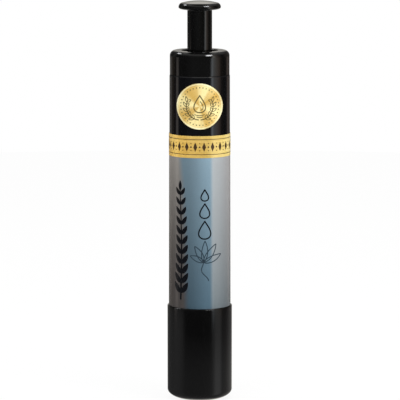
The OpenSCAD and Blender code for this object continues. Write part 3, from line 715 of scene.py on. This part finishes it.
# %% [markdown]
# Printed ornament could be painted by nodes, but drawn lines need crisp edges. So each stroke is a thin bar
# of ink that lies on its surface. A stroke is a path drawn flat with a width at every point; its cross
# section is a small rectangle, sunk a little into what carries it. All strokes of one motif become one
# mesh, worked out as arrays.

# %% Strokes of ink
# A width never falls under the least share of its full value, so that a bar has no point without width.
ink_up, ink_down, least_share = 0.02 * MM, 0.03 * MM, 0.02


def beside(along, widths):
    """Steps from a path to its left side: half of each width, square to the direction along the path."""
    along = along / np.linalg.norm(along, axis=1)[:, None]
    return np.column_stack([-along[:, 1], along[:, 0]]) * widths[:, None] / 2


def loop_of(path, widths):
    """Closed outline of a stroke: along its left side, back along its right side, and to its start again."""
    across = beside(np.gradient(path, axis=0), widths)
    return np.vstack([path + across, (path - across)[::-1], path[:1] + across[:1]])


def grid_faces(rings, sides, closed=False):
    """Quads of a tube whose points come ring by ring; closed joins the last ring to the first."""
    low = np.arange(rings if closed else rings - 1)[:, None] * sides
    high = (low + sides) % (rings * sides)
    side = np.arange(sides)[None, :]
    turned = (side + 1) % sides
    return np.stack([low + side, low + turned, high + turned, high + side], axis=-1).reshape(-1, 4)


def stroke(path, widths, wrap, closed=False):
    """Vertices and faces of one bar of ink; closed joins the path's last point, which repeats its first.

    path is an array of flat points and widths the full width at each, both in metres. The two sides lie
    half a width to the left and right of the path, across its direction. wrap takes flat points and a
    lift, and gives them in space. Each path point gives six corners: left, middle and right, below and
    above. The middle ones keep a wide stroke on the round surface, which a straight chord would cut into.
    """
    widths = np.broadcast_to(widths, len(path))
    along = np.gradient(path, axis=0)
    if closed:
        along[0] += along[-1]
        path, widths, along = path[:-1], widths[:-1], along[:-1]
    across = beside(along, widths)
    left, right = path + across, path - across
    below = [wrap(flat, -ink_down) for flat in (left, path, right)]
    above = [wrap(flat, ink_up) for flat in (right, path, left)]
    points = np.stack(below + above, axis=1).reshape(-1, 3)
    faces = grid_faces(len(path), 6, closed)
    if closed:
        return points, faces
    first = np.array([[5, 4, 1, 0], [4, 3, 2, 1]])
    last = 6 * (len(path) - 1) + first[:, ::-1]
    return points, np.vstack([faces, first, last])


print("strokes are", round((ink_up + ink_down) / MM, 3), "mm thick")

# %% Pieces from parts
def volume_of(points, faces):
    """Signed volume of a closed mesh of quads: positive when its faces point outwards."""
    a, b, c, d = (points[faces[:, i]] for i in range(4))
    return (np.sum(a * np.cross(b, c)) + np.sum(a * np.cross(c, d))) / 6


def piece(name, parts, material, body, smooth=False):
    """New object at the origin from (points, faces) parts, faces turned outwards, riding on a body."""
    all_points, all_faces, start = [], [], 0
    for points, faces in parts:
        if volume_of(points, faces) < 0:
            faces = faces[:, ::-1]
        all_points.append(points)
        all_faces.append(faces + start)
        start += len(points)
    faces = np.vstack(all_faces)
    new = mesh_object(name, np.vstack(all_points), faces.tolist(), material)
    new.data.polygons.foreach_set("use_smooth", np.full(len(faces), smooth))
    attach(new, body)
    print(name, "has", start, "points and", len(faces), "faces")
    return new


print("parts can be joined into a piece that rides on a body")

# %% Wraps onto the pen
def onto_barrel(radius_at):
    """Wrap for artwork on the barrel: flat points are metres round from the front and metres up.

    The angle is the way round divided by the radius at that height, and the lift adds to the radius.
    """

    def wrap(flat, lift):
        """Places in space for flat points, lifted off the surface."""
        radius = radius_at(flat[:, 1])
        turned = flat[:, 0] / radius
        out = radius + lift
        return np.column_stack([out * np.sin(turned), -out * np.cos(turned), flat[:, 1]])

    return wrap


def onto_seal(flat, lift):
    """Wrap for artwork on the seal: flat points are metres right and up from its middle, as seen in front.

    Each point goes straight back to the seal's face: Y is minus the root of radius squared less X squared.
    """
    radius = barrel_radius(flat[:, 1] + seal_z) + seal_t + lift
    return np.column_stack([flat[:, 0], -np.sqrt(radius**2 - flat[:, 0] ** 2), flat[:, 1] + seal_z])


print("artwork can be laid on the barrel and on the seal")

# %% Ink
def ink(name, dark, light, roughness):
    """Printing ink: slightly uneven in tone and in gloss, as a thin layer is."""
    material, tree, shader = finish_of(name)
    patch = noise(tree, 2500, 3)
    colour = blend(tree, patch, dark, light)
    rough = with_noise(tree, patch, roughness, roughness + 0.12)
    fill(tree, shader, {"Base Color": colour, "Roughness": rough, "Specular IOR Level": 0.3})
    return material


black_ink = ink("black_ink", (0.0015, 0.002, 0.003), (0.004, 0.005, 0.008), 0.16)
slate_ink = ink("slate_ink", (0.018, 0.030, 0.042), (0.030, 0.048, 0.064), 0.16)
brown_ink = ink("brown_ink", (0.035, 0.018, 0.006), (0.070, 0.038, 0.014), 0.3)
olive_ink = ink("olive_ink", (0.070, 0.060, 0.018), (0.130, 0.100, 0.030), 0.3)
print("four inks")

# %% [markdown]
# The sleeve carries an ornament: a tall sprig with plump leaves in black, and beside it in finer lines three
# oil drops that fall on an opening bloom. A leaf is one stroke whose width swells and closes again, which is
# how a brush pen draws it. A petal is the outline of such a leaf.

# %% Sprig on the sleeve
def leaf(root, direction, length, width, bend=0.0):
    """Path and widths of a leaf that starts at its root in a direction, in degrees.

    With t from 0 to 1 the path runs length times t ahead and length times bend times t squared aside. The
    width goes with the sine of pi times t to the power 0.85, which is widest before its middle, and that
    sine is taken to the power 0.8, which makes the leaf plump.
    """
    t = np.linspace(0, 1, 15)
    heading = math.radians(direction)
    ahead = np.array([math.cos(heading), math.sin(heading)])
    aside = np.array([-ahead[1], ahead[0]])
    path = np.asarray(root) + length * (t[:, None] * ahead + bend * (t * t)[:, None] * aside)
    return path, width * np.maximum(np.sin(np.pi * t**0.85) ** 0.8, least_share)


on_sleeve = onto_barrel(sleeve_radius)
sprig_foot, sprig_tip, sprig_at = 30.6 * MM, 63.0 * MM, -6.0 * MM
sway, sway_length = 0.35 * MM, 9 * MM
pair_count, first_pair_share, tip_share, tip_shrink = 11, 0.7, 0.2, 0.35
leaf_length, leaf_width, leaf_bend, leaf_lean = 3.9 * MM, 1.6 * MM, 0.22, 48
root_aside = 0.03 * MM
tip_leaf_length, tip_leaf_width, tip_leaf_sunk = 3.0 * MM, 1.15 * MM, 0.2 * MM


def sprig_line(z):
    """Place of the sprig's stem round the barrel at a height: a slow wave about its middle line."""
    return sprig_at + sway * np.sin((z - sprig_foot) / sway_length)


z = np.linspace(sprig_foot, sprig_tip, 60)
stem_widths = np.linspace(0.62, 0.3, len(z)) * MM
sprig = [stroke(np.column_stack([sprig_line(z), z]), stem_widths, on_sleeve)]
for pair in range(pair_count):
    level = sprig_foot + (pair + first_pair_share) * (sprig_tip - sprig_foot) / (pair_count + tip_share)
    size = 1 - tip_shrink * pair / pair_count
    for side in (1, -1):
        root = (sprig_line(level) + root_aside * side, level)
        blade = leaf(root, 90 - leaf_lean * side, leaf_length * size, leaf_width * size, leaf_bend * side)
        sprig.append(stroke(*blade, on_sleeve))
tip_root = (sprig_line(sprig_tip), sprig_tip - tip_leaf_sunk)
sprig.append(stroke(*leaf(tip_root, 90, tip_leaf_length, tip_leaf_width), on_sleeve))
sprig_piece = piece("sleeve_sprig", sprig, black_ink, "barrel")

# %% Drops on the sleeve
drop_width, drop_pull = 0.95, 1.4


def drop_outline(middle, height, points=49):
    """Closed outline of a drop: a circle whose sides pull in towards a point at the top.

    With t going once round, up is the cosine of t, and across is its sine times the sine of t/2 to a power.
    """
    t = np.linspace(0, 2 * np.pi, points)
    across = drop_width * np.sin(t) * np.sin(t / 2) ** drop_pull
    return np.asarray(middle) + height / 2 * np.column_stack([across, np.cos(t)])


drops = []
for drop_middle, drop_height in (((1.5, 61.6), 3.3), ((1.5, 57.0), 4.3), ((1.5, 51.4), 5.3)):
    outline = drop_outline(np.array(drop_middle) * MM, drop_height * MM)
    drops.append(stroke(outline, 0.38 * MM, on_sleeve, closed=True))
drop_piece = piece("sleeve_drops", drops, black_ink, "barrel")

# %% Bloom on the sleeve
# A petal is its direction in degrees, its length and its width. The lengths here are in mm, times MM in use.
bloom_root = np.array([1.1, 41.9]) * MM
bloom_line = 0.27 * MM
stem_length, stem_swing, stem_half_waves = 5.6, 1.6, 1.6
petals = ((16, 6.0, 1.7), (48, 6.5, 1.9), (80, 6.2, 1.8), (113, 5.3, 1.7), (149, 4.3, 1.5))
bloom = []
for direction, length, width in petals:
    loop = loop_of(*leaf(bloom_root, direction, length * MM, width * MM, 0.1))
    bloom.append(stroke(loop, bloom_line, on_sleeve, closed=True))
t = np.linspace(0, 1, 80)
stem_wave = np.sin(stem_half_waves * np.pi * t) * t
bloom_stem = bloom_root + np.column_stack([-stem_swing * stem_wave, -stem_length * t]) * MM
bloom.append(stroke(bloom_stem, bloom_line, on_sleeve))
bloom_piece = piece("sleeve_bloom", bloom, slate_ink, "barrel")

# %% [markdown]
# The gold band has a printed border: lozenges and dots in dark brown between two thin lines. A border has no
# start or end, so it is laid out by count: the circumference is shared evenly and each place gets its mark.

# %% Border on the gold band
def arch(t, least):
    """Share of a dot's width at t from -1 to 1: the root of 1 less t squared, or of least if that is more."""
    return np.sqrt(np.maximum(1 - t * t, least))


band_low, band_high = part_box("gold_band")
band_t = thickness_on_barrel("gold_band")
band_mid = (band_low.z + band_high.z) / 2
band_r = barrel_radius(band_mid) + band_t
on_band = onto_barrel(lambda z: barrel_radius(z) + band_t)
mark_count = 22
lozenge_half, lozenge_width = 1.35 * MM, 1.15 * MM
line_rise, line_width = 2.2 * MM, 0.16 * MM
t = np.linspace(-1, 1, 9)
border = []
for mark in range(mark_count):
    at = 2 * np.pi * band_r * ((mark + 0.5) / mark_count - 0.5)
    lozenge = np.column_stack([np.full(len(t), at), band_mid + lozenge_half * t])
    border.append(stroke(lozenge, lozenge_width * np.maximum(1 - np.abs(t), least_share), on_band))
    between = at + np.pi * band_r / mark_count
    for rise, width in ((0.0, 0.5 * MM), (1.05 * MM, 0.3 * MM), (-1.05 * MM, 0.3 * MM)):
        dot = np.column_stack([np.full(len(t), between), band_mid + rise + width / 2 * t])
        border.append(stroke(dot, width * arch(t, least_share / 2), on_band))
round_way = np.linspace(-np.pi, np.pi, 181) * band_r
for rise in (-line_rise, line_rise):
    line = np.column_stack([round_way, np.full(len(round_way), band_mid + rise)])
    border.append(stroke(line, line_width, on_band, closed=True))
border_piece = piece("band_border", border, brown_ink, "barrel")

# %% [markdown]
# The seal's drawing is a drop between two curved sprays, inside a ring of dots: thin olive lines on gold. A
# raised rim closes the disc, because a stamped foil always turns up a little at its cut edge, and its paler
# gold is a painted highlight on that edge.

# %% Drawing on the seal
ring_count, ring_radius, dot_width = 36, 5.5 * MM, 0.34 * MM
seal_art = []
t = np.linspace(-1, 1, 7)
for mark in range(ring_count):
    turned = 2 * np.pi * mark / ring_count
    dot_middle = ring_radius * np.array([math.sin(turned), math.cos(turned)])
    dot = dot_middle + np.column_stack([dot_width / 2 * t, 0 * t])
    seal_art.append(stroke(dot, dot_width * arch(t, least_share), onto_seal))
outline = drop_outline((0, 0.75 * MM), 5.0 * MM, 61)
seal_art.append(stroke(outline, 0.3 * MM, onto_seal, closed=True))
glint_line = drop_outline((0, 0.35 * MM), 2.9 * MM, 41)[4:20]
seal_art.append(stroke(glint_line, 0.2 * MM, onto_seal))
t = np.linspace(-1, 1, 21)
for rise, half in ((-2.35, 1.5), (-2.95, 0.9)):
    ripple_line = np.column_stack([half * t, rise - 0.28 * np.cos(np.pi * t / 2)]) * MM
    seal_art.append(stroke(ripple_line, 0.2 * MM, onto_seal))
print("the seal has", ring_count, "dots and a drop over two ripples")

# %% Sprays on the seal
spray_radius, spray_foot, spray_bow = 3.9 * MM, 176, 108
spray_leaf_width, spray_line = 0.62 * MM, 0.19 * MM


def spray_point(share, side):
    """Place on a spray's stem, an arc about the seal's middle, and its angle from straight up in radians."""
    turned = np.radians(spray_foot - spray_bow * share)
    return spray_radius * np.stack([side * np.sin(turned), np.cos(turned)], axis=-1), turned


for side in (-1, 1):
    stem, _ = spray_point(np.linspace(0, 1, 40), side)
    seal_art.append(stroke(stem, np.linspace(0.3, 0.2, len(stem)) * MM, onto_seal))
    for share in np.linspace(0.2, 0.98, 5):
        root, turned = spray_point(share, side)
        ahead = 90 - side * (math.degrees(turned) - 90)
        for lean, length in ((-side * 32, 1.55 * MM), (side * 42, 1.25 * MM)):
            loop = loop_of(*leaf(root, ahead + lean, length, spray_leaf_width))
            seal_art.append(stroke(loop, spray_line, onto_seal, closed=True))
seal_piece = piece("seal_drawing", seal_art, olive_ink, "barrel")

# %% Raised rim of the seal
rim_width, rim_inset, rim_rounding = 0.42 * MM, 0.23 * MM, 0.015 * MM
# The rim is raised for real; its paler gold is a painted highlight along the turned-up edge.
rim_highlight_finish = spun_gold("pale_gold_rim", (0.80, 0.66, 0.30), (1.0, 0.93, 0.58), 0.3)
turned = np.linspace(0, 2 * np.pi, 145)
circle = (seal_r - rim_inset) * np.column_stack([np.sin(turned), np.cos(turned)])
rim_piece = piece("seal_rim", [stroke(circle, rim_width, onto_seal, closed=True)], rim_highlight_finish, "barrel")
rounded = rim_piece.modifiers.new("rounded", "BEVEL")
rounded.width = rim_rounding
rounded.segments = 2

# %% [markdown]
# Inside, nothing has to please the eye, so most parts keep the milky colour of unpigmented plastic. Only the
# stem's bush and the nose are black. Milky isn't one colour: it is cooler in some places, and faint flow
# lines run along it. Noise that is drawn out along the pen and the shared skin give that.

# %% Natural inner plastics
def natural(name, dark, light, roughness, flow):
    """Unpigmented moulded plastic: milky, with flow lines along the pen; flow is their share of the tone."""
    material, tree, shader = finish_of(name)
    made = use(tree, skin, Roughness=roughness, Handling=0.08, Scratches=0.1, Skin_scale=1100)
    lines = drawn_noise(tree, (700, 700, 60), 3, 0.6)
    tone = weighted(tree, (lines, flow), (made["Tone"], 1 - flow))
    colour = blend(tree, ease(tree, tone, 0.3, 0.65), dark, light)
    normal = bumped(tree, made["Height"], 0.05, skin_depth)
    fill(tree, shader, {"Base Color": colour, "Roughness": made["Roughness"], "Normal": normal})
    fill(tree, shader, {"Subsurface Weight": 0.15, "Subsurface Scale": 1.0 * MM})
    return material


milky = natural("milky_cartridge", (0.62, 0.63, 0.61), (0.78, 0.78, 0.75), 0.35, 0.5)
hard_white = natural("hard_white_pump", (0.70, 0.70, 0.67), (0.84, 0.84, 0.80), 0.28, 0.3)
liner_white = natural("soft_white_liner", (0.66, 0.68, 0.69), (0.80, 0.82, 0.82), 0.42, 0.4)
follower_tint = natural("pale_blue_follower", (0.50, 0.56, 0.60), (0.62, 0.68, 0.72), 0.4, 0.3)
dress(milky, "inner_cartridge", "guide_tube")
dress(hard_white, "pump_body", "inlet_seat", "push_rod", "spring_bulkhead", "stop_ring")
dress(liner_white, "cap_liner")
dress(follower_tint, "follower_piston", "pump_piston")
bush_black = moulded("matt_black_bush", (0.008, 0.008, 0.009), (0.022, 0.022, 0.024), 0.4, 0.08, 0.2, 0.05)
nose_black = moulded("satin_black_nose", (0.006, 0.006, 0.007), (0.016, 0.016, 0.018), 0.3, 0.08, 0.12, 0.04)
dress(bush_black, "guide_bush")
dress(nose_black, "nozzle_housing")
print("inner plastics are on")

# %% [markdown]
# The two sealing rings are black rubber and the outlet valve is orange silicone. Rubber looks soft because
# it is rough and has a fine bloom of dust; silicone lets a little light in and shines more.

# %% Rubber and silicone
def rubber(name, dark, light, roughness, glow_through):
    """Rubber: a fine grain in its tone and height, a pale bloom in patches, and light a little way in."""
    material, tree, shader = finish_of(name)
    grain, dust = noise(tree, 7000, 2), noise(tree, 500, 3)
    tone = weighted(tree, (grain, 0.4), (dust, 0.6))
    colour = blend(tree, ease(tree, tone, 0.35, 0.7), dark, light)
    rough = with_noise(tree, dust, roughness, roughness + 0.15)
    normal = bumped(tree, grain, 0.12, mark_depth)
    fill(tree, shader, {"Base Color": colour, "Roughness": rough, "Normal": normal})
    fill(tree, shader, {"Subsurface Weight": glow_through, "Subsurface Scale": 0.8 * MM})
    return material


black_rubber = rubber("black_rubber", (0.010, 0.010, 0.010), (0.035, 0.034, 0.033), 0.6, 0.0)
orange_silicone = rubber("orange_silicone", (0.62, 0.24, 0.10), (0.78, 0.36, 0.17), 0.35, 0.25)
dress(black_rubber, "nozzle_seal", "neck_ring")
dress(orange_silicone, "outlet_valve")
print("rubber and silicone are on")

# %% [markdown]
# Four parts are steel, and the tool that made each one has left its marks. The ferrule and the feed tube
# were drawn, so their lines run along the pen. The wire of the spring has die lines along the wire. The
# ball is ground and nearly a mirror. One function makes them all from a stretch of the noise.

# %% Steel
def steel(name, dark, light, roughness, scales, bump):
    """Bare steel: noise drawn out by three scales gives the tool marks in its tone, gloss and height."""
    material, tree, shader = finish_of(name)
    marks = drawn_noise(tree, scales, 4)
    tone = weighted(tree, (marks, 0.6), (noise(tree, 350, 3), 0.4))
    colour = blend(tree, ease(tree, tone, 0.35, 0.65), dark, light)
    rough = with_noise(tree, marks, roughness, roughness + 0.12)
    normal = bumped(tree, marks, bump, mark_depth)
    fill(tree, shader, {"Base Color": colour, "Metallic": 1.0, "Roughness": rough, "Normal": normal})
    return material


drawn_steel = steel("drawn_steel", (0.52, 0.52, 0.54), (0.74, 0.74, 0.75), 0.2, (9000, 9000, 150), 0.05)
spring_steel = steel("spring_wire", (0.40, 0.40, 0.41), (0.64, 0.63, 0.62), 0.24, (500, 500, 9000), 0.06)
ball_steel = steel("ground_ball", (0.62, 0.62, 0.64), (0.78, 0.78, 0.79), 0.06, (4000, 4000, 4000), 0.01)
dress(drawn_steel, "brush_ferrule", "feed_tube")
dress(ball_steel, "inlet_ball")
print("steel is on")

# %% [markdown]
# The spring in the engineering model is wound with eight corners a turn, to keep it light. Here it gets a
# round wire and the closed end coils of a real compression spring. A tube along a helix is two angles: one
# along the wire and one round it. The plunger squeezes it.

# %% Tubes
def tube(path, radii, sides):
    """Points and side faces of a round tube: a ring of points at each path point, across its direction.

    Each ring is spanned by the direction out from the Z axis and by what is square to that and to the path.
    """
    along = np.gradient(path, axis=0)
    along /= np.linalg.norm(along, axis=1)[:, None]
    out = path * (1, 1, 0)
    out -= (out * along).sum(1)[:, None] * along
    out /= np.linalg.norm(out, axis=1)[:, None]
    square = np.cross(along, out)
    angle = 2 * np.pi * np.arange(sides)[None, :, None] / sides
    ring = out[:, None, :] * np.cos(angle) + square[:, None, :] * np.sin(angle)
    points = path[:, None, :] + np.broadcast_to(radii, len(path))[:, None, None] * ring
    return points.reshape(-1, 3), grid_faces(len(path), sides)


def capped(points, faces, sides):
    """A tube with both ends closed, each by a fan of quads round a new middle point; sides is even."""
    count = len(points)
    points = np.vstack([points, points[:sides].mean(0), points[-sides:].mean(0)])
    side = np.arange(0, sides, 2)
    corners = np.column_stack([side, (side + 1) % sides, (side + 2) % sides])
    start = np.insert(corners[:, ::-1], 3, count, axis=1)
    end = np.insert(corners + count - sides, 3, count + 1, axis=1)
    return points, np.vstack([faces, start, end])


print("tubes can be made")

# %% Return spring
spring_low, spring_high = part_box("return_spring")
spring_reach = from_axis(vertices("return_spring"))
wire_r = (spring_reach.max() - spring_reach.min()) / 2
coil_r = spring_reach.max() - wire_r
coil_count, rings_a_coil, wire_sides = 8, 32, 12
coil_gap = 0.06 * MM
closed_step = 2 * wire_r + coil_gap


def helix(turns):
    """Middle line of the wire after some turns round the axis.

    It climbs one closed step in its first and in its last turn, and evenly between.
    """
    span = spring_high.z - spring_low.z - 2 * wire_r
    open_step = (span - 2 * closed_step) / (coil_count - 2)
    climb = closed_step * np.minimum(turns, 1) + open_step * np.clip(turns - 1, 0, coil_count - 2)
    climb = climb + closed_step * np.maximum(turns - (coil_count - 1), 0)
    angle = 2 * np.pi * turns
    return np.column_stack([coil_r * np.cos(angle), coil_r * np.sin(angle), spring_low.z + wire_r + climb])


wire_line = helix(np.linspace(0, coil_count, coil_count * rings_a_coil + 1))
wire = capped(*tube(wire_line, wire_r, wire_sides), wire_sides)
wound = piece("wound_spring", [wire], spring_steel, "barrel", smooth=True)
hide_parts("return_spring")
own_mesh(wound)
print("spring wire", round(2 * wire_r / MM, 2), "mm, coil", round(2 * coil_r / MM, 2), "mm across its middle")

# %% [markdown]
# The brush is drawn as single bristles. They start side by side in the ferrule, bulge a little where the
# metal lets go of them, and close to a point. Roots laid on a sunflower spiral fill the round opening
# evenly, and each bristle is a thin three-sided tube that follows the tuft's outline at its own share of
# the radius. The tips end at slightly different heights, as cut hair does.

# %% Bristles
tip_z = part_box("brush_tuft")[0].z
ferrule_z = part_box("brush_ferrule")[0].z
tuft_r, root_depth, bristle_r = 1.9 * MM, 0.4 * MM, 0.055 * MM
bristle_count, bristle_rings = 420, 12
tip_spread, twist, taper = 0.16, 0.12, 0.75
rng = np.random.default_rng(7)
number = np.arange(bristle_count)
share = np.sqrt((number + 0.5) / bristle_count)
golden = number * np.pi * (3 - np.sqrt(5))
down = np.linspace(0, 1, bristle_rings)
# From the ferrule (0) to the tip (1), the tuft's radius as a share of tuft_r.
outline_down_shares = [0, 0.12, 0.25, 0.45, 0.68, 0.86, 0.97, 1]
outline_radius_shares = [0.93, 1, 1.03, 0.99, 0.82, 0.55, 0.24, 0.03]


def tuft_outline(part):
    """Radius of the tuft at a part of the way down: it swells early and then closes to a point."""
    return tuft_r * np.interp(part, outline_down_shares, outline_radius_shares)


length = ferrule_z - tip_z + root_depth
cut = 1 - tip_spread * share**2 * rng.random(bristle_count)
strands, strand_sides, strand_ends = [], [], []
for bristle in range(bristle_count):
    part = down * cut[bristle]
    radius = share[bristle] * tuft_outline(part)
    angle = golden[bristle] + twist * rng.standard_normal() * down
    height = ferrule_z + root_depth - length * part
    line = np.column_stack([radius * np.cos(angle), radius * np.sin(angle), height])
    points, faces = tube(line, bristle_r * (1 - taper * down**3), 3)
    start = bristle * len(points)
    last = start + len(points) - 1
    strands.append(points)
    strand_sides.append(faces + start)
    strand_ends += [[start + 2, start + 1, start], [last - 2, last - 1, last]]
strands = np.vstack(strands)
print("bristle tips reach down to", round(strands[:, 2].min() / MM, 2), "mm")

# %% Bristle finish
bristle_finish, tree, shader = finish_of("dark_bristle")
rise = use(tree, unrolled, Low=tip_z, High=ferrule_z)["Rise"]
strand = drawn_noise(tree, (9000, 9000, 200), 2)
root_colour = blend(tree, strand, (0.010, 0.008, 0.007), (0.050, 0.036, 0.028))
tip_colour = blend(tree, strand, (0.060, 0.040, 0.026), (0.150, 0.100, 0.064))
colour = blend(tree, rise, tip_colour, root_colour)
fill(tree, shader, {"Base Color": colour, "Roughness": with_noise(tree, strand, 0.35, 0.5)})
tuft = mesh_object("bristles", strands, np.vstack(strand_sides).tolist() + strand_ends, bristle_finish)
tuft.data.polygons.foreach_set("use_smooth", np.full(len(tuft.data.polygons), True))
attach(tuft, "barrel")
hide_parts("brush_tuft")
print("bristles:", bristle_count, "strands,", len(tuft.data.polygons), "faces")

# %% [markdown]
# The last cell measures. The dressed pen has to keep the size of the engineering model, so its size is
# printed.

# %% Size
low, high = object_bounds()
print("visual size in mm:", [round((b - a) / MM, 2) for a, b in zip(low, high)])
